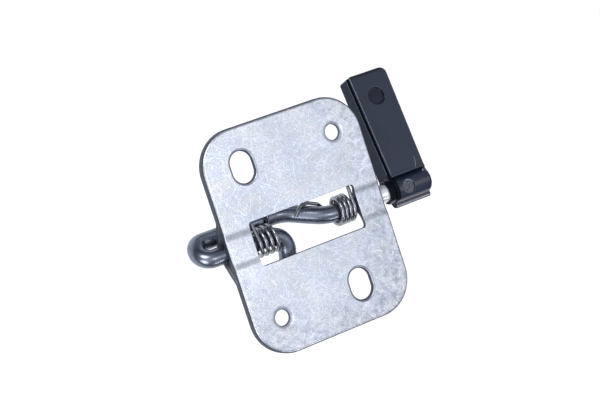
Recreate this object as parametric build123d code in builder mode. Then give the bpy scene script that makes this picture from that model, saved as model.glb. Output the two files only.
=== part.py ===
from build123d import *
import math
import os

# Hood latch: a sprung catch hook in a folded bearing of two plates, with a
# moulded pull handle on its end. The origin is the middle of the mounting
# face. X runs along the pivot, Y towards the handle's tip, Z out of the face.

# plates
plate_width = 68.5
plate_height = 88.0
plate_corner = 14.9
front_sheet = 2.0
back_sheet = 2.0
front_edge_round = 0.9

# window in the front plate
window_width = 46.2
window_height = 17.3
window_offset = -0.4
window_corner = 1.2

# strips of the front plate that lie over the pivot
strip_dip = 0.5
strip_flat = 8.95
strip_ramp = 2.4
strip_bend = 4.0

# fixing slots and locating holes
slot_width = 9.0
slot_length = 12.3
slot_behind_margin = 1.3
upper_slot_in = 16.25
upper_slot_down = 15.4
lower_slot_in = 20.75
lower_slot_up = 15.1
hole_diameter = 6.1
hole_behind_diameter = 8.5
hole_in = 12.4
hole_down = 14.2
upper_slot_x = upper_slot_in - plate_width / 2
upper_slot_y = plate_height / 2 - upper_slot_down
lower_slot_x = plate_width / 2 - lower_slot_in
lower_slot_y = lower_slot_up - plate_height / 2
hole_x = plate_width / 2 - hole_in
hole_y = plate_height / 2 - hole_down

# pivot and the bearing troughs in the back plate
bar_diameter = 7.0
pivot_clearance = 0.05
pivot_y = -0.3
trough_angle = 36.0
back_window_width = 52.0
trough_bend = 1.5
back_window_margin = 1.0
bar_radius = bar_diameter / 2
seat_radius = bar_radius + pivot_clearance
pivot_z = -(front_sheet + strip_dip + seat_radius)

# catch bar
bar_in_handle = 16.7
crank_spring_gap = 10.4
crank_past_coil = 8.78
crank_rise = 6.5
crank_depth = 7.15
crank_bend_reach = 4.456
far_leg_past_plate = 7.35
loop_past_plate = 9.25
loop_bend = 4.35
shank_past_coil = 4.98
shank_lean = 0.177
shank_bend = 6.0
shank_fall_angle = 8.3
shank_run = 19.7
hook_depth = 36.0
hook_lean = 0.5
hook_bend = 8.0
nose_reach = 15.5
nose_fall = 1.0
nose_round = 1.2

# torsion springs
spring_wire = 1.5
spring_radius = 5.2
left_spring_gap = 2.3
left_spring_pitch_share = 0.0509
left_spring_drop = 0.3
right_spring_gap = 1.7
right_spring_pitch = 1.8
right_spring_rise = 0.3
spring_fixed_angle = 75.0
spring_fixed_leg = 11.0
spring_turns = 3
left_leg_angle = 300.0
left_leg = 8.6
right_leg_angle = 245.0
right_leg_start = 3.4
right_leg_gap = 0.35
right_leg_steps = [(0.214, -15), (0.428, 15), (0.589, 50), (0.722, 85), (0.829, 118)]
right_leg_bend = 2.0

# handle; its places along X are measured from its collar's end
handle_past_plate = 4.05
collar_radius = 4.7
collar_groove = 0.5
collar_length = 2.7
hub_end = 19.7
hub_radius = 5.3
hub_end_round = 2.2
handle_bore_clearance = 0.05
bore_end_gap = 0.2
arm_end_y = 47.4
arm_start = 5.5
arm_slope = 12.0
arm_thickness_tip = 10.0
arm_thickness_hub = 12.5
arm_left_hub = 2.3
arm_left_tip = 2.2
arm_right_hub = 18.0
arm_right_tip = 19.2
arm_left_corner = 1.0
arm_right_corner = 3.0
arm_edge_round = 0.5
grip_groove_top = 2.6
grip_groove_width = 2.2
grip_groove_depth = 0.9
lip_start = 3.7
lip_end = 19.9
lip_reach = 7.3
lip_top_drop = 0.9
lip_slant = 1.6
lip_edge_round = 0.6
tip_recess_in = 10.4
tip_recess_y = 37.0
tip_recess_radius = 3.5
tip_recess_depth = 0.6
hub_recess_in = 8.2
hub_recess_radius = 2.75
hub_recess_depth = 0.45

below_everything = 60.0

os.makedirs("parts", exist_ok=True)

# front plate, with a flat dip in line with the pivot
dip_outer = strip_flat / 2 + strip_ramp
dip_profile = [
    (pivot_y - plate_height, 0),
    (pivot_y - dip_outer, 0),
    (pivot_y - strip_flat / 2, -strip_dip),
    (pivot_y + strip_flat / 2, -strip_dip),
    (pivot_y + dip_outer, 0),
    (pivot_y + plate_height, 0),
]

with BuildPart() as top_plate:
    with BuildSketch(Plane.YZ):
        with BuildLine():
            FilletPolyline(*dip_profile, radius=strip_bend)
            offset(amount=front_sheet, side=Side.RIGHT)
        make_face()
    extrude(amount=plate_width, both=True)
    with BuildSketch():
        RectangleRounded(plate_width, plate_height, plate_corner)
    extrude(amount=-below_everything, mode=Mode.INTERSECT)
    with BuildSketch():
        with Locations((0, window_offset)):
            RectangleRounded(window_width, window_height, window_corner)
        with Locations((upper_slot_x, upper_slot_y), (lower_slot_x, lower_slot_y)):
            SlotOverall(slot_length, slot_width, rotation=90)
        with Locations((hole_x, hole_y), (-hole_x, -hole_y)):
            Circle(hole_diameter / 2)
    extrude(amount=-below_everything, mode=Mode.SUBTRACT)
    # the two locating holes keep a square edge
    front_edges = top_plate.edges().filter_by(
        lambda edge: edge.bounding_box().min.Z > -strip_dip - 0.01
        and not edge.is_interior
        and abs(edge.length - math.pi * hole_diameter) > 0.01
    )
    fillet(front_edges, radius=front_edge_round)

# back plate, with a trough each side that carries the pivot
wall = math.radians(trough_angle)
seat_fall = seat_radius / math.cos(wall)
trough_half = (pivot_z * -1 - front_sheet + seat_fall) / math.tan(wall)
trough_profile = [
    (pivot_y - plate_height, -front_sheet),
    (pivot_y - trough_half, -front_sheet),
    (pivot_y, pivot_z - seat_fall),
    (pivot_y + trough_half, -front_sheet),
    (pivot_y + plate_height, -front_sheet),
]
outer_bend = trough_bend + back_sheet
back_window_half = trough_half + back_window_margin

with BuildPart() as bottom_plate:
    with BuildSketch(Plane.YZ):
        with BuildLine():
            FilletPolyline(*trough_profile, radius=[outer_bend, seat_radius, outer_bend])
            offset(amount=back_sheet, side=Side.RIGHT)
        make_face()
    extrude(amount=plate_width, both=True)
    with BuildSketch():
        RectangleRounded(plate_width, plate_height, plate_corner)
    extrude(amount=-below_everything, mode=Mode.INTERSECT)
    with BuildSketch():
        with Locations((0, pivot_y)):
            RectangleRounded(back_window_width, 2 * back_window_half, window_corner)
        with Locations((upper_slot_x, upper_slot_y), (lower_slot_x, lower_slot_y)):
            SlotOverall(
                slot_length + 2 * slot_behind_margin,
                slot_width + 2 * slot_behind_margin,
                rotation=90,
            )
        with Locations((hole_x, hole_y), (-hole_x, -hole_y)):
            Circle(hole_behind_diameter / 2)
    extrude(amount=-below_everything, mode=Mode.SUBTRACT)

# where the springs' coils start and end along the bar
left_turns = spring_turns + (left_leg_angle - spring_fixed_angle) / 360
left_spring_pitch = left_spring_pitch_share * window_width
left_spring_x = left_spring_gap - window_width / 2
left_coil_end = left_spring_x + left_spring_pitch * left_turns
right_turns = spring_turns + (right_leg_angle - spring_fixed_angle) / 360
right_spring_x = window_width / 2 - right_spring_gap

# catch bar: pivot, crank, long loop through the left bearing, then the hook
handle_start_x = plate_width / 2 + handle_past_plate
bar_inner_end = handle_start_x + bar_in_handle
crank_start_x = right_spring_x - crank_spring_gap
crank_end_x = left_coil_end + crank_past_coil
crank_run = crank_start_x - crank_end_x
crank_angle = math.atan2(math.hypot(crank_rise, crank_depth), crank_run)
crank_bend = crank_bend_reach / math.tan(crank_angle / 2)
far_leg_x = -plate_width / 2 - far_leg_past_plate
loop_end_x = -plate_width / 2 - loop_past_plate
shank_x = left_coil_end + shank_past_coil
far_y = pivot_y + crank_rise
far_z = pivot_z - crank_depth
shank_end_y = pivot_y - shank_run
shank_end_x = shank_x - shank_lean * shank_run
shank_end_z = pivot_z - shank_run * math.tan(math.radians(shank_fall_angle))
hook_z = pivot_z - hook_depth
bar_route = [
    (bar_inner_end, pivot_y, pivot_z),
    (crank_start_x, pivot_y, pivot_z),
    (crank_end_x, far_y, far_z),
    (far_leg_x, far_y, far_z),
    (loop_end_x, pivot_y, pivot_z),
    (shank_x, pivot_y, pivot_z),
    (shank_end_x, shank_end_y, shank_end_z),
    (shank_end_x, shank_end_y - hook_lean, hook_z),
    (shank_end_x, shank_end_y - nose_reach, hook_z - nose_fall),
]
bar_bends = [
    crank_bend,
    crank_bend,
    loop_bend,
    loop_bend,
    shank_bend,
    hook_bend,
    hook_bend,
]

with BuildPart() as catch_bar:
    with BuildLine() as bar_path:
        FilletPolyline(*bar_route, radius=bar_bends)
    with BuildSketch(Plane((bar_inner_end, pivot_y, pivot_z), x_dir=(0, 1, 0), z_dir=(-1, 0, 0))):
        Circle(bar_radius)
    sweep()
    bar_ends = catch_bar.faces().filter_by(GeomType.PLANE)
    fillet(bar_ends.edges(), radius=nose_round)

# springs: the fixed leg presses under the front plate's window edge, and the
# moving leg presses down on the bar, which holds the hook in its catch


def coil_frame(x, y, hand, angle):
    radial = Vector(0, math.cos(math.radians(angle)), math.sin(math.radians(angle)))
    return Plane((x, y, pivot_z), x_dir=radial, z_dir=(hand, 0, 0))


def wire_section(point, direction):
    return Plane(point, z_dir=direction)


left_frame = coil_frame(left_spring_x, pivot_y - left_spring_drop, 1, spring_fixed_angle)
left_coil = left_frame * Helix(left_spring_pitch, left_spring_pitch * left_turns, spring_radius)

with BuildPart() as left_spring:
    with BuildSketch(wire_section(left_coil @ 0, left_coil % 0)):
        Circle(spring_wire / 2)
    sweep(path=left_coil, is_frenet=True)
    with BuildSketch(wire_section(left_coil @ 0, left_coil % 0)):
        Circle(spring_wire / 2)
    extrude(amount=-spring_fixed_leg)
    with BuildSketch(wire_section(left_coil @ 1, left_coil % 1)):
        Circle(spring_wire / 2)
    extrude(amount=left_leg)

right_frame = coil_frame(right_spring_x, pivot_y + right_spring_rise, -1, spring_fixed_angle)
right_coil = right_frame * Helix(
    right_spring_pitch,
    right_spring_pitch * right_turns,
    spring_radius,
    lefthand=True,
)

# the right spring's moving leg winds round the crank from behind to the front
crank_start = Vector(crank_start_x, pivot_y, pivot_z)
crank_line = Vector(crank_end_x, far_y, far_z) - crank_start
crank_way = crank_line.normalized()
crank_front = (Vector(0, 0, 1) - crank_way * crank_way.Z).normalized()
crank_side = crank_way.cross(crank_front)
leg_distance = bar_radius + spring_wire / 2 + right_leg_gap
leg_route = [right_coil @ 1, right_coil @ 1 + (right_coil % 1) * right_leg_start]
for along, turn in right_leg_steps:
    side = crank_side * math.cos(math.radians(turn))
    front = crank_front * math.sin(math.radians(turn))
    leg_route.append(crank_start + crank_line * along + (side + front) * leg_distance)

with BuildPart() as right_spring:
    with BuildSketch(wire_section(right_coil @ 0, right_coil % 0)):
        Circle(spring_wire / 2)
    sweep(path=right_coil, is_frenet=True)
    with BuildSketch(wire_section(right_coil @ 0, right_coil % 0)):
        Circle(spring_wire / 2)
    extrude(amount=-spring_fixed_leg)
    with BuildLine() as leg_path:
        FilletPolyline(*leg_route, radius=right_leg_bend)
    with BuildSketch(wire_section(right_coil @ 1, right_coil % 1)):
        Circle(spring_wire / 2)
    sweep(path=leg_path.wire())

# handle: a slanted arm with grip grooves, and a hub with a blind bore
hub_start_x = handle_start_x + collar_length
hub_end_x = handle_start_x + hub_end
arm_angle = math.radians(arm_slope)
arm_origin_y = pivot_y + arm_start
arm_plane = Plane(
    (0, arm_origin_y, pivot_z + hub_radius),
    x_dir=(1, 0, 0),
    z_dir=(0, math.sin(arm_angle), math.cos(arm_angle)),
)
arm_length = (arm_end_y - arm_origin_y) / math.cos(arm_angle)
tip_recess_along = (tip_recess_y - arm_origin_y) / math.cos(arm_angle)

with BuildPart() as handle:
    with BuildSketch(arm_plane) as arm_outline:
        with BuildLine():
            Polyline(
                (handle_start_x + arm_left_hub, 0),
                (handle_start_x + arm_left_tip, arm_length),
                (handle_start_x + arm_right_tip, arm_length),
                (handle_start_x + arm_right_hub, 0),
                close=True,
            )
        make_face()
        tip_corners = arm_outline.vertices().group_by(Axis.Y)[-1].sort_by(Axis.X)
        fillet(tip_corners[0], radius=arm_left_corner)
        fillet(arm_outline.vertices().group_by(Axis.Y)[-1].sort_by(Axis.X)[-1], radius=arm_right_corner)
    extrude(amount=-arm_thickness_hub)
    # the underside rises towards the tip
    underside = Plane(
        arm_plane.from_local_coords((0, 0, -arm_thickness_hub)),
        x_dir=(1, 0, 0),
        z_dir=arm_plane.z_dir,
    ).rotated((math.degrees(math.atan2(arm_thickness_hub - arm_thickness_tip, arm_length)), 0, 0))
    split(bisect_by=underside, keep=Keep.TOP)
    fillet(handle.faces().filter_by(arm_plane)[0].edges(), radius=arm_edge_round)
    fillet(handle.faces().filter_by(underside)[0].edges(), radius=arm_edge_round)
    with BuildSketch(arm_plane.offset(-grip_groove_top)):
        add(arm_outline.sketch_local)
        offset(amount=-grip_groove_depth, mode=Mode.SUBTRACT)
    extrude(amount=-grip_groove_width, mode=Mode.SUBTRACT)
    with BuildSketch(Plane.XZ.offset(-pivot_y)) as hub_profile:
        with BuildLine():
            Polyline(
                (handle_start_x, pivot_z),
                (handle_start_x, pivot_z + collar_radius),
                (hub_start_x - collar_groove, pivot_z + collar_radius),
                (hub_start_x - collar_groove, pivot_z + collar_radius - collar_groove),
                (hub_start_x, pivot_z + collar_radius - collar_groove),
                (hub_start_x, pivot_z + hub_radius),
                (hub_end_x, pivot_z + hub_radius),
                (hub_end_x, pivot_z),
                close=True,
            )
        make_face()
        outer_corner = hub_profile.vertices().sort_by(Axis.X)[-2:].sort_by(Axis.Y)[-1]
        fillet(outer_corner, radius=hub_end_round)
    revolve(axis=Axis((0, pivot_y, pivot_z), (1, 0, 0)))
    lip_plane = Plane((handle_start_x + lip_start, pivot_y, pivot_z), x_dir=(0, 1, 0), z_dir=(1, 0, 0))
    with BuildSketch(lip_plane) as lip_profile:
        with BuildLine():
            Polyline(
                (-lip_reach, -lip_top_drop),
                (0, -lip_top_drop),
                (0, -hub_radius),
                (-lip_reach + lip_slant, -hub_radius),
                (-lip_reach, -hub_radius + lip_slant),
                close=True,
            )
        make_face()
        fillet(lip_profile.vertices().group_by(Axis.X)[0], radius=lip_edge_round)
    extrude(amount=lip_end - lip_start)
    with BuildSketch(arm_plane):
        with Locations((handle_start_x + tip_recess_in, tip_recess_along)):
            Circle(tip_recess_radius)
    extrude(amount=-tip_recess_depth, mode=Mode.SUBTRACT)
    with BuildSketch(Plane.XY.offset(pivot_z + hub_radius)):
        with Locations((handle_start_x + hub_recess_in, pivot_y)):
            Circle(hub_recess_radius)
    extrude(amount=-hub_recess_depth, mode=Mode.SUBTRACT)
    bore_plane = Plane((handle_start_x, pivot_y, pivot_z), x_dir=(0, 1, 0), z_dir=(1, 0, 0))
    with BuildSketch(bore_plane):
        Circle(bar_radius + handle_bore_clearance)
    extrude(amount=bar_inner_end + bore_end_gap - handle_start_x, mode=Mode.SUBTRACT)

top_plate.part.label = "top_plate"
bottom_plate.part.label = "bottom_plate"
catch_bar.part.label = "catch_bar"
left_spring.part.label = "left_spring"
right_spring.part.label = "right_spring"
handle.part.label = "handle"

export_step(top_plate.part, "parts/top_plate.step")
export_step(bottom_plate.part, "parts/bottom_plate.step")
export_step(catch_bar.part, "parts/catch_bar.step")
export_step(left_spring.part, "parts/left_spring.step")
export_step(right_spring.part, "parts/right_spring.step")
export_step(handle.part, "parts/handle.step")
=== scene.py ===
import math

import bpy
import numpy as np
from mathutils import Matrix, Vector
from mathutils.geometry import delaunay_2d_cdt


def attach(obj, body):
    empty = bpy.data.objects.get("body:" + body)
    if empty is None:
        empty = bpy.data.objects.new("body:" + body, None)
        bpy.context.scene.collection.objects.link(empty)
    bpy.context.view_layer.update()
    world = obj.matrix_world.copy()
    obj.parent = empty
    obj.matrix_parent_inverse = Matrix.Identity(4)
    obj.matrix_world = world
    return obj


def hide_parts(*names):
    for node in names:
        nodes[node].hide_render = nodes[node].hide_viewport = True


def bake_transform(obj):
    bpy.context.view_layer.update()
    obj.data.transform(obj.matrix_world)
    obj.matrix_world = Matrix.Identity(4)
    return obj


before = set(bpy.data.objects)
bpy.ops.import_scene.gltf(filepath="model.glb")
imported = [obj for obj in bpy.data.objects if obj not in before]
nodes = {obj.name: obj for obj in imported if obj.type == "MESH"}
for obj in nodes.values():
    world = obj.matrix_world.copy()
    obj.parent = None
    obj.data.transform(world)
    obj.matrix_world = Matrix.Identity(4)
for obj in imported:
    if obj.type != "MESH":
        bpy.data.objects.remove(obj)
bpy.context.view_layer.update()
MM = 0.001

# Sizes in millimetres, as in the solid model
PLATE_WIDTH = 68.5
PLATE_HEIGHT = 88.0
PLATE_CORNER = 14.9
SHEET = 2.0
EDGE_ROUND = 0.9
WINDOW = (46.2, 17.3)
WINDOW_OFFSET = -0.4
WINDOW_CORNER = 1.2
STRIP_DIP = 0.5
STRIP_FLAT = 4.475
STRIP_RAMP = 2.4
SLOTS = ((-18.0, 28.6), (13.5, -28.9))
SLOT_SIZE = (9.0, 12.3)
SLOT_BEHIND = (11.6, 14.9)
HOLES = ((21.85, 29.8), (-21.85, -29.8))
HOLE_RADIUS = 3.05
HOLE_BEHIND_RADIUS = 4.25
PIVOT_Y = -0.3
PIVOT_Z = -6.05
BAR_RADIUS = 3.5
SEAT_RADIUS = 3.55
SIDE_BAND = 8.25
CRANK_FOOT = 11.0
CRANK_REACH = (6.5, 7.15)
HOOK_REACH = 19.7
HOOK_DROP = 36.0
HOOK_NOSE = 15.5
WIRE_RADIUS = 0.75
COIL_RADIUS = 5.2
FIXED_LEG = 11.0
LEFT_COIL_X = -20.8
LEFT_COIL_PITCH = 0.0509 * WINDOW[0]
LEFT_COIL_TURNS = 3.625
RIGHT_COIL_X = 21.4
RIGHT_COIL_PITCH = -1.8


# Curves and outlines

def unit(v):
    return v / np.linalg.norm(v)


def bent_path(corners, radii, step=0.5):
    """Points along straight runs joined by tangent arcs."""
    corners = [np.array(c, float) for c in corners]
    points = [corners[0]]
    for before, corner, after, radius in zip(corners, corners[1:], corners[2:], radii):
        back, ahead = unit(before - corner), unit(after - corner)
        opening = math.acos(float(np.clip(back @ ahead, -1, 1)))
        turn = math.pi - opening
        centre = corner + unit(back + ahead) * radius / math.sin(opening / 2)
        reach = radius / math.tan(opening / 2)
        first, last = corner + back * reach - centre, corner + ahead * reach - centre
        count = max(4, int(turn * radius / step))
        for k in range(count + 1):
            share = k / count
            mix = first * math.sin((1 - share) * turn) + last * math.sin(share * turn)
            points.append(centre + mix / math.sin(turn))
    points.append(corners[-1])
    return spaced(points, step * 3)


def spaced(points, longest):
    """The same line, with its long runs cut into shorter ones."""
    line = [points[0]]
    for a, b in zip(points, points[1:]):
        pieces = max(1, math.ceil(np.linalg.norm(b - a) / longest))
        line += [a + (b - a) * k / pieces for k in range(1, pieces + 1)]
    keep = [line[0]]
    for p in line[1:]:
        if np.linalg.norm(p - keep[-1]) > 1e-4:
            keep.append(p)
    return np.array(keep)


def corner_arc(cx, cy, radius, start):
    count = max(8, math.ceil(radius * math.pi / 2 / 0.75))
    angles = np.radians(start) + np.linspace(0, math.pi / 2, count + 1)
    return [np.array([cx + radius * math.cos(a), cy + radius * math.sin(a)]) for a in angles]


def rounded_outline(x0, x1, y0, y1, radius):
    loop = corner_arc(x1 - radius, y0 + radius, radius, -90)
    loop += corner_arc(x1 - radius, y1 - radius, radius, 0)
    loop += corner_arc(x0 + radius, y1 - radius, radius, 90)
    loop += corner_arc(x0 + radius, y0 + radius, radius, 180)
    return spaced(loop + [loop[0]], 0.8)[:-1]


def slot_outline(cx, cy, width, length):
    radius = width / 2
    half = length / 2
    return rounded_outline(cx - radius, cx + radius, cy - half, cy + half, radius - 1e-3)


def round_outline(cx, cy, radius, count=56):
    angles = np.linspace(0, 2 * math.pi, count, endpoint=False)
    return np.array([[cx + radius * math.cos(a), cy + radius * math.sin(a)] for a in angles])


def inset(loop, distance):
    """The loop moved to its left, which is into the sheet."""
    ahead = np.roll(loop, -1, axis=0) - loop
    behind = loop - np.roll(loop, 1, axis=0)
    ahead /= np.linalg.norm(ahead, axis=1)[:, None]
    behind /= np.linalg.norm(behind, axis=1)[:, None]
    along = ahead + behind
    along /= np.linalg.norm(along, axis=1)[:, None]
    stretch = 1 / np.clip((along * ahead).sum(1), 0.5, 1)
    return loop + np.stack([-along[:, 1], along[:, 0]], 1) * (distance * stretch)[:, None]


def inside(points, loop):
    x, y = points[:, 0][:, None], points[:, 1][:, None]
    ax, ay = loop[:, 0], loop[:, 1]
    bx, by = np.roll(ax, -1), np.roll(ay, -1)
    crosses = (ay > y) != (by > y)
    edge_x = ax + (y - ay) * (bx - ax) / np.where(by == ay, 1e-9, by - ay)
    return (crosses & (x < edge_x)).sum(1) % 2 == 1


# Meshes

def piece(name, points, faces, body, sharp=35):
    mesh = bpy.data.meshes.new(name)
    mesh.from_pydata([tuple(np.array(p) * MM) for p in points], [], faces)
    mesh.validate()
    mesh.update()
    mesh.shade_smooth()
    mesh.set_sharp_from_angle(angle=math.radians(sharp))
    thing = bpy.data.objects.new(name, mesh)
    bpy.context.scene.collection.objects.link(thing)
    if body:
        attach(thing, body)
    return thing


def cap_grid(loops, spacing):
    """Triangles that fill the first loop and leave the others open."""
    outer, openings = loops[0], loops[1:]
    low, high = outer.min(0), outer.max(0)
    xs = np.arange(low[0] + spacing / 2, high[0], spacing)
    ys = np.arange(low[1] + spacing / 2, high[1], spacing)
    grid = np.array([[x, y] for x in xs for y in ys])
    keep = inside(grid, outer)
    for opening in openings:
        keep &= ~inside(grid, opening)
    edge = np.concatenate(loops)
    gap = np.sqrt(((grid[:, None, :] - edge[None, :, :]) ** 2).sum(2)).min(1)
    grid = grid[keep & (gap > spacing * 0.55)]
    edges, start = [], 0
    for loop in loops:
        count = len(loop)
        edges += [(start + k, start + (k + 1) % count) for k in range(count)]
        start += count
    flat = [Vector(p) for p in np.concatenate([edge, grid])]
    _, _, faces, origin, _, _ = delaunay_2d_cdt(flat, edges, [], 0, 1e-6)
    corners = np.array([[flat[origin[i][0]] for i in f] for f in faces])
    middles = corners.mean(1)
    first, second = corners[:, 1] - corners[:, 0], corners[:, 2] - corners[:, 0]
    good = np.abs(first[:, 0] * second[:, 1] - first[:, 1] * second[:, 0]) > 1e-5
    good &= inside(middles, outer)
    for opening in openings:
        good &= ~inside(middles, opening)
    fill = [tuple(origin[i][0] for i in f) for f, ok in zip(faces, good) if ok]
    return grid, fill


def sheet_piece(name, loops, place, body, front_round, back_round, spacing=1.3, painted_shade=None,
                shares=None):
    """A pressed sheet. place(x, s, depth) puts a point of the flat blank."""
    # the rounding meets the face at an angle, as a coined edge does
    crease = math.radians(25)
    radius = front_round / (1 - math.tan(crease / 2))
    rings = []
    for angle in np.linspace(0, math.pi / 2 - crease, 6):
        rings.append((radius * (1 - math.cos(angle)), radius * (1 - math.sin(angle))))
    rings.append((front_round, 0.0))
    rings.append((front_round + 0.25, 0.0))
    rings.reverse()
    rings += [(0.0, SHEET - back_round), (back_round, SHEET)]
    shares = shares or [1.0] * len(loops)
    points, faces, starts, painted_shades = [], [], [], []
    for ring, (distance, depth) in enumerate(rings):
        starts.append(len(points))
        for number, (loop, share) in enumerate(zip(loops, shares)):
            share = share if ring < len(rings) - 2 else 1.0
            rim = inset(loop, distance * share)
            points += [(p[0], p[1], depth * share) for p in rim]
            painted_shades += [painted_shade(number, ring, p) if painted_shade else 0.0 for p in rim]
    for upper, lower in zip(starts, starts[1:]):
        first = 0
        for loop in loops:
            count = len(loop)
            for k in range(count):
                a, b = first + k, first + (k + 1) % count
                faces.append((upper + b, upper + a, lower + a, lower + b))
            first += count
    for ring, depth, flip in ((0, 0.0, False), (len(rings) - 1, SHEET, True)):
        edge_loops = [inset(loop, rings[ring][0] * (1.0 if flip else share))
                      for loop, share in zip(loops, shares)]
        grid, fill = cap_grid(edge_loops, spacing)
        on_edge = sum(len(loop) for loop in loops)
        base = len(points)
        points += [(p[0], p[1], depth) for p in grid]
        painted_shades += [painted_shade(-1, ring, p) if painted_shade else 0.0 for p in grid]
        for face in fill:
            face = tuple(starts[ring] + i if i < on_edge else base + i - on_edge for i in face)
            faces.append(face[::-1] if flip else face)
    thing = piece(name, [place(*p) for p in points], faces, body)
    # the painted shade of each point is kept on the mesh as an attribute
    thing.data.attributes.new("painted_shade", "FLOAT", "POINT").data.foreach_set("value", painted_shades)
    return thing


def swept_bar(name, line, radius, body, around=36, end_round=0.5, sharp=50):
    """A round bar or wire along a line, with rounded ends."""
    tangents = np.gradient(line, axis=0)
    tangents /= np.linalg.norm(tangents, axis=1)[:, None]
    side = unit(np.cross(tangents[0], (0.3, 0.5, 0.8)))
    profile = [(end_round * (1 - math.sin(a)), radius - end_round * (1 - math.cos(a)))
               for a in np.linspace(0, math.pi / 2, 5)]
    stations = []
    for k, (point, tangent) in enumerate(zip(line, tangents)):
        side = unit(side - tangent * (side @ tangent))
        other = np.cross(tangent, side)
        if k == 0:
            stations += [(point + tangent * back, side, other, r) for back, r in reversed(profile)]
        elif k == len(line) - 1:
            stations += [(point - tangent * back, side, other, r) for back, r in profile]
        else:
            far_in = np.linalg.norm(point - line[0]) > end_round * 1.3
            far_out = np.linalg.norm(point - line[-1]) > end_round * 1.3
            if far_in and far_out:
                stations.append((point, side, other, radius))
    turns = np.linspace(0, 2 * math.pi, around, endpoint=False)
    points, faces = [], []
    for point, a, b, r in stations:
        points += [point + (a * math.cos(t) + b * math.sin(t)) * r for t in turns]
    for k in range(len(stations) - 1):
        for j in range(around):
            n = (j + 1) % around
            here, there = k * around, (k + 1) * around
            faces.append((here + j, here + n, there + n, there + j))
    faces.append(tuple(range(around))[::-1])
    faces.append(tuple((len(stations) - 1) * around + j for j in range(around)))
    return piece(name, points, faces, body, sharp)


# Plates

HOLE_RIM_DIP, HOLE_RIM_WIDTH = 0.3, 1.3


def smooth_step(t):
    t = np.clip(t, 0, 1)
    return t * t * (3 - 2 * t)


def ramp(off):
    """Depth of the dip at a distance from its middle, with small bends."""
    spread = np.linspace(-0.3, 0.3, 7)
    return STRIP_DIP * float(np.clip(1 - (off + spread - STRIP_FLAT) / STRIP_RAMP, 0, 1).mean())


def front_place(x, y, depth):
    """The front plate's dip in line with the pivot, and the soft rim of its holes."""
    dip = ramp(abs(y - PIVOT_Y))
    for cx, cy in HOLES:
        rim = math.hypot(x - cx, y - cy) - HOLE_RADIUS
        dip += HOLE_RIM_DIP * (1 - smooth_step(rim / HOLE_RIM_WIDTH)) * (1 - depth / SHEET)
    return (x, y, -dip - depth)


def front_painted_shade(number, ring, point):
    """Painted shade in the crease round the slots, on the walls of the slots and the window
    towards the back, round the holes and along the bends.

    number is the loop's: 0 the outline, 1 the window, 2 and 3 the slots. ring counts the
    rings of points from the face, over the rounded rim, to the back.
    """
    x, y = point
    amount = 0.0
    if number in (2, 3):
        amount = (0.0, 1.0, 0.45, 0.2, 0.1, 0.1, 0.15, 0.3, 0.8, 1.0)[min(ring, 9)]
    if number == 1 and ring > 6:
        amount = 0.6
    for cx, cy in HOLES:
        rim = math.hypot(x - cx, y - cy) - HOLE_RADIUS
        amount = max(amount, 0.75 * float(1 - smooth_step(rim / 1.6)))
    bend = abs(abs(y - PIVOT_Y) - STRIP_FLAT - STRIP_RAMP / 2) / STRIP_RAMP
    return max(amount, 0.16 * float(1 - smooth_step(bend * 1.6 - 0.3)))


plate_outline = rounded_outline(
    -PLATE_WIDTH / 2, PLATE_WIDTH / 2, -PLATE_HEIGHT / 2, PLATE_HEIGHT / 2, PLATE_CORNER)
window_outline = rounded_outline(
    -WINDOW[0] / 2, WINDOW[0] / 2, WINDOW_OFFSET - WINDOW[1] / 2, WINDOW_OFFSET + WINDOW[1] / 2,
    WINDOW_CORNER)
front_loops = [plate_outline, window_outline[::-1]]
front_loops += [slot_outline(cx, cy, *SLOT_SIZE)[::-1] for cx, cy in SLOTS]
front_loops += [round_outline(cx, cy, HOLE_RADIUS)[::-1] for cx, cy in HOLES]
rim_shares = (1.0, 0.15, 1.0, 1.0, 0.3, 0.3)
front_plate = sheet_piece("front_plate", front_loops, front_place, "base", EDGE_ROUND, 0.12,
                          0.65, front_painted_shade, rim_shares)
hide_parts("top_plate")

# The back plate is bent from a flat blank: s runs along the bent sheet
WALL = math.radians(36.0)
TROUGH_BEND = 3.5
BLANK_REACH = 60
seat_fall = SEAT_RADIUS / math.cos(WALL)
trough_half = (-PIVOT_Z - SHEET + seat_fall) / math.tan(WALL)
trough_line = bent_path(
    [(-BLANK_REACH, -SHEET, 0), (-trough_half, -SHEET, 0), (0, PIVOT_Z - seat_fall, 0),
     (trough_half, -SHEET, 0), (BLANK_REACH, -SHEET, 0)],
    [TROUGH_BEND, SEAT_RADIUS, TROUGH_BEND], 0.25)[:, :2]
trough_steps = np.linalg.norm(np.diff(trough_line, axis=0), axis=1)
trough_run = np.concatenate([[0], np.cumsum(trough_steps)])
trough_run -= trough_run[-1] / 2
trough_way = np.gradient(trough_line, axis=0)
trough_way /= np.linalg.norm(trough_way, axis=1)[:, None]
slack = trough_run[-1] - BLANK_REACH


def back_place(x, s, depth):
    """The back plate's troughs: a point of the blank, s along the bent sheet."""
    y, z = (np.interp(s, trough_run, trough_line[:, k]) for k in (0, 1))
    way_y, way_z = (np.interp(s, trough_run, trough_way[:, k]) for k in (0, 1))
    return (x, PIVOT_Y + y + way_z * depth, z - way_y * depth)


def along_blank(y):
    """The place on the blank of a point that ends up on the flat part."""
    return y - PIVOT_Y + math.copysign(slack, y - PIVOT_Y)


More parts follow.
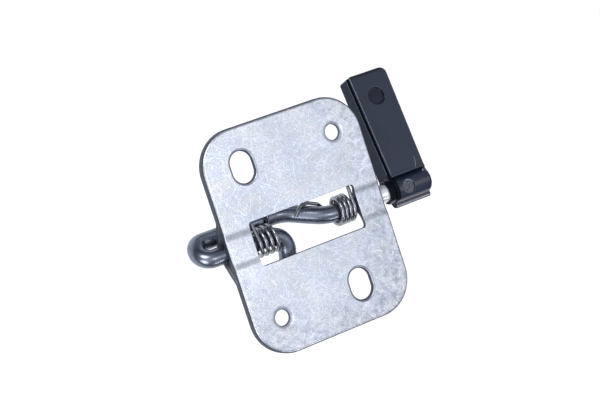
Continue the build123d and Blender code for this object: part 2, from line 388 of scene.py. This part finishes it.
back_window = float(np.interp(trough_half + 1.0, trough_line[:, 0], trough_run))
back_loops = [
    rounded_outline(-PLATE_WIDTH / 2, PLATE_WIDTH / 2, along_blank(-PLATE_HEIGHT / 2),
                    along_blank(PLATE_HEIGHT / 2), PLATE_CORNER),
    rounded_outline(-PLATE_WIDTH / 2 + SIDE_BAND, PLATE_WIDTH / 2 - SIDE_BAND, -back_window,
                    back_window, WINDOW_CORNER)[::-1],
]
back_loops += [slot_outline(cx, along_blank(cy), *SLOT_BEHIND)[::-1] for cx, cy in SLOTS]
back_loops += [round_outline(cx, along_blank(cy), HOLE_BEHIND_RADIUS)[::-1] for cx, cy in HOLES]
back_plate = sheet_piece("back_plate", back_loops, back_place, "base", 0.25, 0.5, 1.2)
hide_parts("bottom_plate")

# Catch bar

far_y, far_z = PIVOT_Y + CRANK_REACH[0], PIVOT_Z - CRANK_REACH[1]
left_end = LEFT_COIL_X + LEFT_COIL_PITCH * LEFT_COIL_TURNS
bar_turn = left_end + 4.98
crank_end = left_end + 8.78
crank_angle = math.atan2(math.hypot(*CRANK_REACH), CRANK_FOOT - crank_end)
crank_bend = 4.456 / math.tan(crank_angle / 2)
shank_x = bar_turn - 0.177 * HOOK_REACH
shank_y = PIVOT_Y - HOOK_REACH
shank_z = PIVOT_Z - HOOK_REACH * math.tan(math.radians(8.3))
bar_corners = [
    (55, PIVOT_Y, PIVOT_Z),  # inside the handle
    (CRANK_FOOT, PIVOT_Y, PIVOT_Z),
    (crank_end, far_y, far_z),
    (-41.6, far_y, far_z),  # the loop past the plate's left edge
    (-43.47, PIVOT_Y, PIVOT_Z),
    (bar_turn, PIVOT_Y, PIVOT_Z),
    (shank_x, shank_y, shank_z),
    (shank_x, shank_y - 0.5, PIVOT_Z - HOOK_DROP),
    (shank_x, shank_y - HOOK_NOSE, PIVOT_Z - HOOK_DROP - 0.99),
]
bar_bends = [crank_bend, crank_bend, 4.35, 4.35, 6.0, 8, 8]
bar_line = bent_path(bar_corners, bar_bends, 0.45)
bar = swept_bar("bar", bar_line, BAR_RADIUS, "hook", 48, 1.2)
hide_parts("catch_bar")

# Springs

def coil(x, y, pitch, start, end, turns):
    """Points of a coil round the pivot. Angles in degrees, from Y towards Z."""
    last = end + 360 * turns
    count = int((last - start) / 7.5)
    angles = np.radians(np.linspace(start, last, count + 1))
    way = (angles - angles[0]) / (2 * math.pi)
    return np.stack([x + pitch * way, y + COIL_RADIUS * np.cos(angles),
                     PIVOT_Z + COIL_RADIUS * np.sin(angles)], 1)


def spring_line(turns, last_points, bend=1.6):
    """The fixed leg, the coil, and the leg that goes through the last points."""
    lead = unit(turns[0] - turns[1])
    leg = [turns[0] + lead * FIXED_LEG * (1 - k / 16) for k in range(16)]
    bends = [bend] * (len(last_points) - 1)
    tail = bent_path([turns[-1]] + list(last_points), bends, 0.3)
    return np.concatenate([leg, turns, tail[1:]])


left_turns = coil(LEFT_COIL_X, PIVOT_Y - 0.3, LEFT_COIL_PITCH, 75, 300, 3)
left_way = unit(left_turns[-1] - left_turns[-2])
left_tip = left_turns[-1] + left_way * 8.6
left_line = spring_line(left_turns, [left_tip])
left_spring = swept_bar("spring_left", left_line, WIRE_RADIUS, None, 18, 0.25)
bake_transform(left_spring)
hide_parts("left_spring")

# The right spring's moving leg winds round the crank
crank_start = np.array([CRANK_FOOT, PIVOT_Y, PIVOT_Z])
crank_run = np.array([crank_end, far_y, far_z]) - crank_start
crank_way = unit(crank_run)
crank_front = unit(np.array([0, 0, 1]) - crank_way * crank_way[2])
crank_side = np.cross(crank_way, crank_front)
leg_distance = BAR_RADIUS + WIRE_RADIUS + 0.35
right_turns = coil(RIGHT_COIL_X, PIVOT_Y + 0.3, RIGHT_COIL_PITCH, 75, 245, 3)
right_way = unit(right_turns[-1] - right_turns[-2])
right_tail = [right_turns[-1] + right_way * 3.4]
for along, angle in ((0.214, -15), (0.428, 12), (0.56, 42), (0.628, 78), (0.668, 110)):
    angle = math.radians(angle)
    out = crank_side * math.cos(angle) + crank_front * math.sin(angle)
    right_tail.append(crank_start + crank_run * along + out * leg_distance)
right_line = spring_line(right_turns, right_tail, 1.8)
right_spring = swept_bar("spring_right", right_line, WIRE_RADIUS, None, 18, 0.25)
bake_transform(right_spring)
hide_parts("right_spring")


# Handle: distances to simple solids, blended as a moulding would be

def round_join(a, b, r):
    """Both solids, with a fillet of radius r between them."""
    return np.maximum(np.minimum(a, b), r) - np.hypot(np.maximum(r - a, 0), np.maximum(r - b, 0))


def round_cut(a, b, r):
    """What both solids share, with edges of radius r."""
    return np.minimum(np.maximum(a, b), -r) + np.hypot(np.maximum(r + a, 0), np.maximum(r + b, 0))


HANDLE_START = PLATE_WIDTH / 2 + 4.05
SLOPE = math.radians(12.0)
ARM_Y, ARM_Z = PIVOT_Y + 5.5, PIVOT_Z + 5.3
ARM_LENGTH = (47.4 - ARM_Y) / math.cos(SLOPE)
ARM_WIDTH, ARM_THICKNESS = 18.0, 12.5
GROOVE_DEPTH = 1.2
HANDLE_WIDTH = 19.7
DISC_X, DISC_Y, DISC_RADIUS = 10.4, 37.0, 3.45
HUB_RADIUS, COLLAR_RADIUS, NECK_RADIUS = 5.3, 4.7, 4.2
SPOT_X, SPOT_RADIUS = 8.2, 2.7
BORE_END = 16.9


def handle_distance(x, y, z):
    """How far a point is outside the handle, in millimetres."""
    x = x - HANDLE_START
    along = (y - ARM_Y) * math.cos(SLOPE) - (z - ARM_Z) * math.sin(SLOPE)
    up = (y - ARM_Y) * math.sin(SLOPE) + (z - ARM_Z) * math.cos(SLOPE)
    share = along / ARM_LENGTH
    left, right = 2.3 - 0.1 * share - x, x - ARM_WIDTH - 1.2 * share
    tip = along - ARM_LENGTH
    far_sides, near_sides = round_cut(right, tip, 3.0), round_cut(left, -along, 0.4)
    outline = np.maximum(round_cut(far_sides, near_sides, 0.4), round_cut(left, tip, 1.0))
    arm = np.maximum(round_cut(far_sides, up, 1.0), round_cut(near_sides, up, 0.35))
    arm = np.maximum(arm, outline)
    arm = round_cut(arm, -up - ARM_THICKNESS + 2.5 * share, 0.5)
    groove = np.maximum(np.abs(up + 2.3) - GROOVE_DEPTH, -GROOVE_DEPTH - outline)
    arm = round_cut(arm, -groove, 0.2)
    disc = np.hypot(x - DISC_X, along - (DISC_Y - ARM_Y) / math.cos(SLOPE))
    floor_of_disc = -0.85 + 0.05 * np.cos(np.clip(disc / 3.0, 0, 1) * math.pi)
    arm = round_cut(arm, -np.maximum(disc - DISC_RADIUS, floor_of_disc - up), 0.15)

    away, above = y - PIVOT_Y, z - PIVOT_Z
    turn = np.hypot(away, above)
    hub = round_cut(round_cut(turn - HUB_RADIUS, x - HANDLE_WIDTH, 2.2), 2.7 - x, 0.25)
    collar = np.maximum(round_cut(turn - COLLAR_RADIUS, -x, 0.3), x - 2.3)
    neck = np.maximum(turn - NECK_RADIUS, np.abs(x - 2.4) - 0.6)
    hub = np.minimum(np.minimum(hub, collar), neck)
    chamfer = -(away + 5.7 + above + 5.3) * math.sqrt(0.5)
    lip = round_cut(round_cut(-7.3 - away, above + 0.9, 0.6),
                    round_cut(-5.3 - above, chamfer, 0.4), 0.4)
    lip = round_cut(np.maximum(lip, away), np.maximum(3.7 - x, x - 19.9), 0.35)
    joint = 0.7 + 2.3 * smooth_step((x - 14.5) / 3.5)
    whole = round_join(round_join(arm, hub, joint), lip, 0.5)
    spot = np.hypot(x - SPOT_X, away)
    ripple = 0.09 * np.sin(x * 4.4 + 1.0) * np.sin(away * 4.1)
    whole = round_cut(whole, -np.maximum(spot - SPOT_RADIUS, 4.55 + ripple - above), 0.12)
    bore = np.maximum(turn - SEAT_RADIUS, x - BORE_END)
    return np.maximum(whole, -bore)


def skin(distance, low, high, cell):
    """Quads over the surface where a distance is nought."""
    axes = [np.arange(a, b + cell, cell) for a, b in zip(low, high)]
    grid = np.meshgrid(*axes, indexing="ij")
    field = distance(*grid)
    shape = [n - 1 for n in field.shape]
    total, count = np.zeros(shape + [3]), np.zeros(shape)
    corners = [(a, b, c) for a in (0, 1) for b in (0, 1) for c in (0, 1)]

    def at(corner):
        return field[tuple(slice(o, o + n) for o, n in zip(corner, shape))]

    for one in corners:
        for axis in range(3):
            if one[axis]:
                continue
            two = tuple(1 if k == axis else o for k, o in enumerate(one))
            first, second = at(one), at(two)
            crossed = (first < 0) != (second < 0)
            share = np.where(crossed, first / np.where(crossed, first - second, 1), 0)
            for k in range(3):
                total[..., k] += crossed * (one[k] + (share if k == axis else 0))
            count += crossed
    active = count > 0
    number = np.full(shape, -1)
    number[active] = np.arange(active.sum())
    cells = np.argwhere(active)
    points = np.array(low) + cell * (cells + total[active] / count[active][:, None])
    faces = []
    for axis in range(3):
        p, q = (axis + 1) % 3, (axis + 2) % 3
        inner = [slice(1, -1)] * 3
        inner[axis] = slice(0, -1)
        ahead = list(inner)
        ahead[axis] = slice(1, None)
        start, end = field[tuple(inner)] < 0, field[tuple(ahead)] < 0
        for sign in (True, False):
            found = np.argwhere((start != end) & (start == sign))
            base = found + np.array([0 if k == axis else 1 for k in range(3)])
            step_p, step_q = np.eye(3, dtype=int)[p], np.eye(3, dtype=int)[q]
            ring = [base - step_p - step_q, base - step_q, base, base - step_p]
            quad = np.stack([number[tuple(r.T)] for r in ring], 1)
            faces.append(quad if sign else quad[:, ::-1])
    # each point steps onto the surface, twice
    push = 0.02
    for _ in range(2):
        here = distance(*points.T)
        ahead = [distance(*(points + push * step).T) - here for step in np.eye(3)]
        slope = np.stack(ahead, 1) / push
        size = np.maximum((slope ** 2).sum(1), 0.3)
        points = points - slope * (np.clip(here, -0.1, 0.1) / size)[:, None]
    return points, np.concatenate(faces)


handle_points, handle_faces = skin(
    handle_distance, (37.9, -8.1, -19.9), (58.6, 47.9, 0.4), 0.25)
handle_points[:, 0] = np.clip(handle_points[:, 0], HANDLE_START, HANDLE_START + 19.88)
handle_faces = [tuple(int(i) for i in face) for face in handle_faces]
handle = piece("moulded_handle", handle_points, handle_faces, "hook", 45)
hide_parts("handle")


# Finishes

class Flow:
    """An output of a shader node. Arithmetic on it adds Math nodes."""

    def __init__(self, tree, socket):
        self.tree, self.socket = tree, socket

    def math(self, operation, *others, clamp=False):
        node = self.tree.nodes.new("ShaderNodeMath")
        node.operation, node.use_clamp = operation, clamp
        for target, value in zip(node.inputs, (self,) + others):
            if isinstance(value, Flow):
                self.tree.links.new(value.socket, target)
            else:
                target.default_value = value
        return Flow(self.tree, node.outputs[0])

    def __add__(self, other):
        return self.math("ADD", other)

    def __sub__(self, other):
        return self.math("SUBTRACT", other)

    def __mul__(self, other):
        return self.math("MULTIPLY", other)

    def __truediv__(self, other):
        return self.math("DIVIDE", other)

    def __rsub__(self, other):
        return (self * -1) + other

    __radd__, __rmul__ = __add__, __mul__

    def above(self, level, soft):
        """0 below the level and 1 above it, with a soft edge."""
        return ((self - (level - soft)) / (2 * soft)).math("ADD", 0.0, clamp=True)

    def near(self, middle, width, soft):
        """1 within a width of the middle and 0 beyond it, with a soft edge."""
        return 1 - (self - middle).math("ABSOLUTE").above(width, soft)


class Finish:
    """A material, or the world, and the nodes that make it."""

    def __init__(self, name, world=None):
        self.material = world or bpy.data.materials.new(name)
        self.material.use_nodes = True
        self.tree = self.material.node_tree
        self.shader = self.tree.nodes["Background" if world else "Principled BSDF"]

    def node(self, kind, settings=None, output=0, **values):
        made = self.tree.nodes.new("ShaderNode" + kind)
        for key, value in (settings or {}).items():
            setattr(made, key, value)
        for key, value in values.items():
            self.feed(made.inputs[key.replace("_", " ")], value)
        return Flow(self.tree, made.outputs[output])

    def feed(self, target, value):
        if isinstance(value, Flow):
            self.tree.links.new(value.socket, target)
        else:
            target.default_value = value

    def place(self):
        """The point on the piece, in metres."""
        return self.node("TexCoord", output=3)

    def normal(self):
        return self.node("TexCoord", output=1)

    def axis(self, vector, which):
        """One of a vector's three numbers."""
        return self.node("SeparateXYZ", output=which, Vector=vector)

    def vector(self, operation, *values, output=0):
        made = self.node("VectorMath", {"operation": operation}, output=output)
        for target, value in zip(made.socket.node.inputs, values):
            self.feed(target, value)
        return made

    def length(self, vector):
        return self.vector("LENGTH", vector, output=1)

    def stretched(self, where, scale, turn=(0, 0, 0)):
        return self.node("Mapping", Vector=where, Scale=scale, Rotation=turn)

    def noise(self, where, scale, detail=3.0, roughness=0.55):
        return self.node("TexNoise", Vector=where, Scale=scale, Detail=detail, Roughness=roughness)

    def blend(self, share, first, second):
        """A colour between the first and the second."""
        made = self.tree.nodes.new("ShaderNodeMix")
        made.data_type = "RGBA"
        targets = (made.inputs[0], made.inputs[6], made.inputs[7])
        for target, value in zip(targets, (share, first, second)):
            if isinstance(value, tuple):
                value = (*value, 1)
            self.feed(target, value)
        return Flow(self.tree, made.outputs[2])

    def surface(self, **values):
        for key, value in values.items():
            if isinstance(value, tuple):
                value = (*value, 1)
            self.feed(self.shader.inputs[key.replace("_", " ")], value)
        return self.material

    def bump(self, height, strength, distance):
        return self.node("Bump", Height=height, Strength=strength, Distance=distance)


def plated_sheet(name, tone):
    f = Finish(name)
    where = f.place()
    grain = f.noise(where, 2600, 3.0, 0.7)
    mottle = f.noise(where, 1250, 5.0, 0.7)
    cloud = f.noise(where, 48, 5.0, 0.6)
    sheen = f.noise(f.stretched(where, (1, 1.5, 1), (0, 0, 0.5)), 90, 3.0)
    dark, light = tuple(0.70 * c for c in tone), tuple(1.2 * c for c in tone)
    base = f.blend(mottle.above(0.5, 0.2), dark, light)
    base = f.blend(cloud.above(0.5, 0.12) * 0.7, base, dark)
    base = f.blend(sheen.above(0.55, 0.12) * 0.1, base, (0.42, 0.54, 0.86))
    base = f.blend((1 - sheen).above(0.55, 0.1) * 0.16, base, (0.80, 0.68, 0.56))
    base = f.blend(grain.above(0.56, 0.08) * 0.3, base, (0.36, 0.39, 0.46))
    # handled corners are smudged
    reach = f.length(f.vector("MULTIPLY_ADD", where, (29.0, 22.7, 0.0), (0.25, -0.25, 0.0)))
    smudge = f.noise(where, 330, 6.0, 0.75).above(0.53, 0.1)
    base = f.blend(smudge * (reach.above(1.1, 0.3) * 0.85 + 0.14), base, (0.27, 0.29, 0.35))
    # fine scratches that cross each other
    sway = f.node("TexNoise", output=1, Vector=where, Scale=45.0, Detail=1.0)
    swayed = f.vector("MULTIPLY_ADD", sway, (0.012, 0.012, 0.0), where)
    marks = None
    for number, turn in enumerate((0.4, 0.9, -0.75, 1.45, -0.2, 2.3)):
        offset = number / 5
        laid = f.node("Mapping", {"vector_type": "TEXTURE"}, Vector=swayed, Rotation=(0, 0, turn),
                      Scale=(0.012, 0.0011, 0.012), Location=(offset, offset, 0))
        apart = (f.noise(laid, 1.0, 1.0) - 0.64).math("ABSOLUTE")
        line = (1 - apart * 75).math("MAXIMUM", 0.0)
        marks = line if marks is None else marks.math("MAXIMUM", line)
    base = f.blend(marks * 0.65, base, (0.90, 0.93, 0.99))
    # painted shade: faces turned away from the front and back, the sheet edges and a little the
    # bends' ramps, are darker than the faces; they are also rougher
    edge = 1 - f.axis(f.normal(), 2).math("ABSOLUTE").above(0.78, 0.13)
    base = f.blend(edge * 0.95, base, (0.032, 0.039, 0.06))
    # painted shade, read from the mesh: slot creases, hole rims, bends and the walls towards the
    # back; it also adds roughness
    painted_shade = f.node("Attribute", {"attribute_name": "painted_shade"}, output=2)
    base = f.blend(painted_shade * 0.8, base, (0.12, 0.135, 0.17))
    relief = mottle * 0.5 + grain * 0.4
    rough = cloud * 0.1 + mottle * 0.12 + 0.15 + edge * 0.25 + painted_shade * 0.2
    return f.surface(Base_Color=base, Metallic=0.75, Roughness=rough,
                     Normal=f.bump(relief, 0.28, 0.00012))


def bent_bar(name):
    f = Finish(name)
    where = f.place()
    fine = f.noise(where, 1500, 2.0)
    streak = f.noise(f.stretched(where, (60, 500, 500)), 1.0, 3.0)
    patch = f.noise(where, 120, 3.0)
    base = f.blend(patch.above(0.5, 0.2), (0.12, 0.138, 0.175), (0.21, 0.238, 0.29))
    base = f.blend(fine.above(0.62, 0.08) * 0.35, base, (0.16, 0.17, 0.19))
    # painted highlight: the end beside the handle is made near white and less metallic
    painted_highlight = f.axis(where, 0).above(0.0348, 0.0006)
    base = f.blend(painted_highlight, base, (0.93, 0.94, 0.96))
    rough = patch * 0.12 + streak * 0.1 + 0.15
    relief = fine * 0.6 + streak * 0.4
    return f.surface(Base_Color=base, Metallic=0.95 - painted_highlight * 0.35, Roughness=rough,
                     Normal=f.bump(relief, 0.12, 0.0001))


def drawn_wire(name):
    f = Finish(name)
    where = f.place()
    fine = f.noise(where, 2400, 2.0)
    patch = f.noise(where, 260, 3.0)
    base = f.blend(patch.above(0.5, 0.2), (0.17, 0.18, 0.20), (0.32, 0.33, 0.355))
    return f.surface(Base_Color=base, Metallic=0.95, Roughness=fine * 0.15 + 0.2,
                     Normal=f.bump(fine, 0.1, 0.00008))


def moulded_plastic(name):
    f = Finish(name)
    where = f.place()
    grain = f.noise(where, 2600, 3.0, 0.7)
    swell = f.noise(where, 240, 2.0)
    patch = f.noise(where, 70, 3.0)
    normal = f.normal()
    x, y = f.axis(where, 0), f.axis(where, 1)
    base = f.blend(patch.above(0.5, 0.3), (0.006, 0.010, 0.023), (0.012, 0.018, 0.038))
    base = f.blend(grain.above(0.64, 0.06) * 0.4, base, (0.04, 0.05, 0.075))
    # the mould was polished for the front and left rough at the left side
    side = (f.axis(normal, 0) * -1).above(0.8, 0.15)
    front = f.axis(normal, 2)

    def reach(centre, flatten=(1, 1, 0)):
        """The distance from a line through the centre, along the flattened axis."""
        return f.length(f.vector("MULTIPLY", f.vector("SUBTRACT", where, centre), flatten))

    # painted shade: the groove below the front face is made black
    slant = (0, math.sin(SLOPE), math.cos(SLOPE))
    up = f.vector("DOT_PRODUCT", where, slant, output=1)
    depth = up - (ARM_Y * slant[1] + ARM_Z * slant[2]) * MM
    groove = depth.near(-0.0022, 0.0015, 0.0002) * (1 - x.above(0.0424, 0.0002))
    base = f.blend(groove, base, (0.004, 0.005, 0.008))
    # the sunk disc at the tip is matt with painted shade on its rim, and the hub's spot is sandy
    disc = reach(((HANDLE_START + DISC_X) * MM, DISC_Y * MM, 0))
    spot = reach(((HANDLE_START + SPOT_X) * MM, PIVOT_Y * MM, 0))
    forward = front.above(0.1, 0.1)
    matt = (1 - disc.above(0.0034, 0.0001)) * forward
    ring = disc.near(0.0034, 0.0002, 0.00015) * forward
    sandy = (1 - spot.above(0.0026, 0.0001)) * forward
    base = f.blend(matt * 0.5, base, (0.008, 0.010, 0.016))
    base = f.blend(ring * 0.5, base, (0.004, 0.005, 0.008))
    base = f.blend(sandy * grain.above(0.5, 0.1), base, (0.10, 0.11, 0.13))
    # the far edge turns away from the room and stays dark
    far = x.above(0.0573, 0.0005).math("MAXIMUM", y.above(0.0462, 0.0005))
    base = f.blend(far * 0.5, base, (0.005, 0.007, 0.014))
    # a short curved scratch low on the arm, and the lit rim of the hub's spot
    scratch = reach((0.04686, 0.00973, 0)).near(0.00625, 0.00008, 0.00008)
    scratch = scratch * y.near(0.008, 0.002, 0.0004) * x.above(0.0505, 0.0002)
    rim = spot.near(0.0027, 0.0001, 0.0001) * y.above(0.0014, 0.0007) * x.above(0.0462, 0.0005)
    marks = (scratch * 0.75).math("MAXIMUM", rim) * forward
    base = f.blend(marks * 0.7, base, (0.36, 0.39, 0.44))
    # the lip is rubbed pale where it is touched
    lip = 1 - reach((0, -0.00695, -0.0066), (0, 1, 1)).above(0.0004, 0.0002)
    base = f.blend(lip * grain.above(0.42, 0.1) * 0.9, base, (0.62, 0.66, 0.72))
    # painted highlight: a pale line along the left edge of the arm's front face
    ridge_highlight = x.near(0.0406, 0.0002, 0.0001) * front.above(0.5, 0.2) * y.above(0.0062, 0.0003)
    base = f.blend(ridge_highlight * 0.7, base, (0.16, 0.19, 0.25))

    gloss = y.above(0.0064, 0.0005) * 0.24 + 0.76
    for mask, loss in ((side, 0.94), (matt, 0.6), (sandy, 0.7), (groove, 1.0), (ring, 0.9),
                       (far, 0.65)):
        gloss = gloss * (1 - mask * loss)
    rough = patch * 0.12 + grain * 0.12 + 0.4
    relief = grain * 0.35 + swell * 0.65
    f.surface(Metallic=0.0, Specular_IOR_Level=0.04, Coat_Roughness=0.14, Coat_IOR=1.72)
    return f.surface(Base_Color=base, Roughness=rough, Coat_Weight=gloss,
                     Normal=f.bump(relief, 0.35, 0.00015))


def paper(name):
    f = Finish(name)
    soft = f.noise(f.place(), 30, 2.0)
    shade = f.blend(soft, (0.96, 0.96, 0.96), (0.97, 0.97, 0.97))
    return f.surface(Base_Color=shade, Roughness=0.9)


def wear(thing, material):
    thing.data.materials.clear()
    thing.data.materials.append(material)


plate_metal = plated_sheet("plated_sheet", (0.60, 0.64, 0.71))
wire_metal = drawn_wire("drawn_wire")
wear(front_plate, plate_metal)
wear(back_plate, plate_metal)
wear(bar, bent_bar("bent_bar"))
wear(left_spring, wire_metal)
wear(right_spring, wire_metal)
black_plastic = moulded_plastic("black_plastic")
wear(handle, black_plastic)
# The solids that the pieces replace carry finishes too
for name, material in (("handle", black_plastic), ("top_plate", plate_metal),
                       ("bottom_plate", plate_metal), ("catch_bar", wire_metal),
                       ("left_spring", wire_metal), ("right_spring", wire_metal)):
    for slot in nodes[name].material_slots:
        slot.material = material

# Camera, lights and floor

camera = bpy.data.objects.new("camera", bpy.data.cameras.new("camera"))
bpy.context.scene.collection.objects.link(camera)
camera.location = (-0.25683, 0.06323, 0.56682)
camera.rotation_euler = (0.059628, -0.429475, -0.348455)
camera.data.lens = 99.0
camera.data.sensor_width = 36.0
camera.data.clip_start = 0.01
bpy.context.scene.camera = camera


def soft_light(name, place, size, power, shade=(1, 1, 1)):
    """A softbox that faces the middle of the part."""
    data = bpy.data.lights.new(name, "AREA")
    data.shape, data.size, data.size_y = "RECTANGLE", size[0], size[1]
    data.energy, data.color = power, shade
    lamp = bpy.data.objects.new(name, data)
    lamp.location = place
    lamp.rotation_euler = (-Vector(place)).to_track_quat("-Z", "Y").to_euler()
    bpy.context.scene.collection.objects.link(lamp)


soft_light("key", (-0.55, 0.75, 0.95), (0.65, 0.5), 9)
soft_light("side", (-1.0, -0.5, 0.7), (0.75, 0.5), 8, (0.97, 0.98, 1))
soft_light("overhead", (0.15, -0.05, 1.25), (0.2, 0.25), 1.0)
soft_light("low", (0.3, -1.1, 0.6), (0.6, 0.2), 2)

floor_corners = [(x, y, -0.3) for x, y in ((-4, -4), (4, -4), (4, 4), (-4, 4))]
floor_mesh = bpy.data.meshes.new("floor")
floor_mesh.from_pydata(floor_corners, [], [(0, 1, 2, 3)])
floor = bpy.data.objects.new("floor", floor_mesh)
bpy.context.scene.collection.objects.link(floor)
wear(floor, paper("white_paper"))

# A bright ceiling that falls off to darker walls
world = bpy.data.worlds.new("studio")
studio = Finish("studio", world)
way = studio.node("TexCoord", output=0)
ceiling = studio.axis(way, 2).above(0.42, 0.3)
band = studio.axis(way, 1).near(-0.08, 0.26, 0.1)
glow = ceiling * (band * 0.75 + 0.25)
studio.surface(Color=studio.blend(glow, (0.12, 0.13, 0.16), (1.1, 1.13, 1.19)), Strength=1.0)
bpy.context.scene.world = world
bpy.context.scene.view_settings.view_transform = "Standard"
bpy.context.scene.view_settings.exposure = 0.12
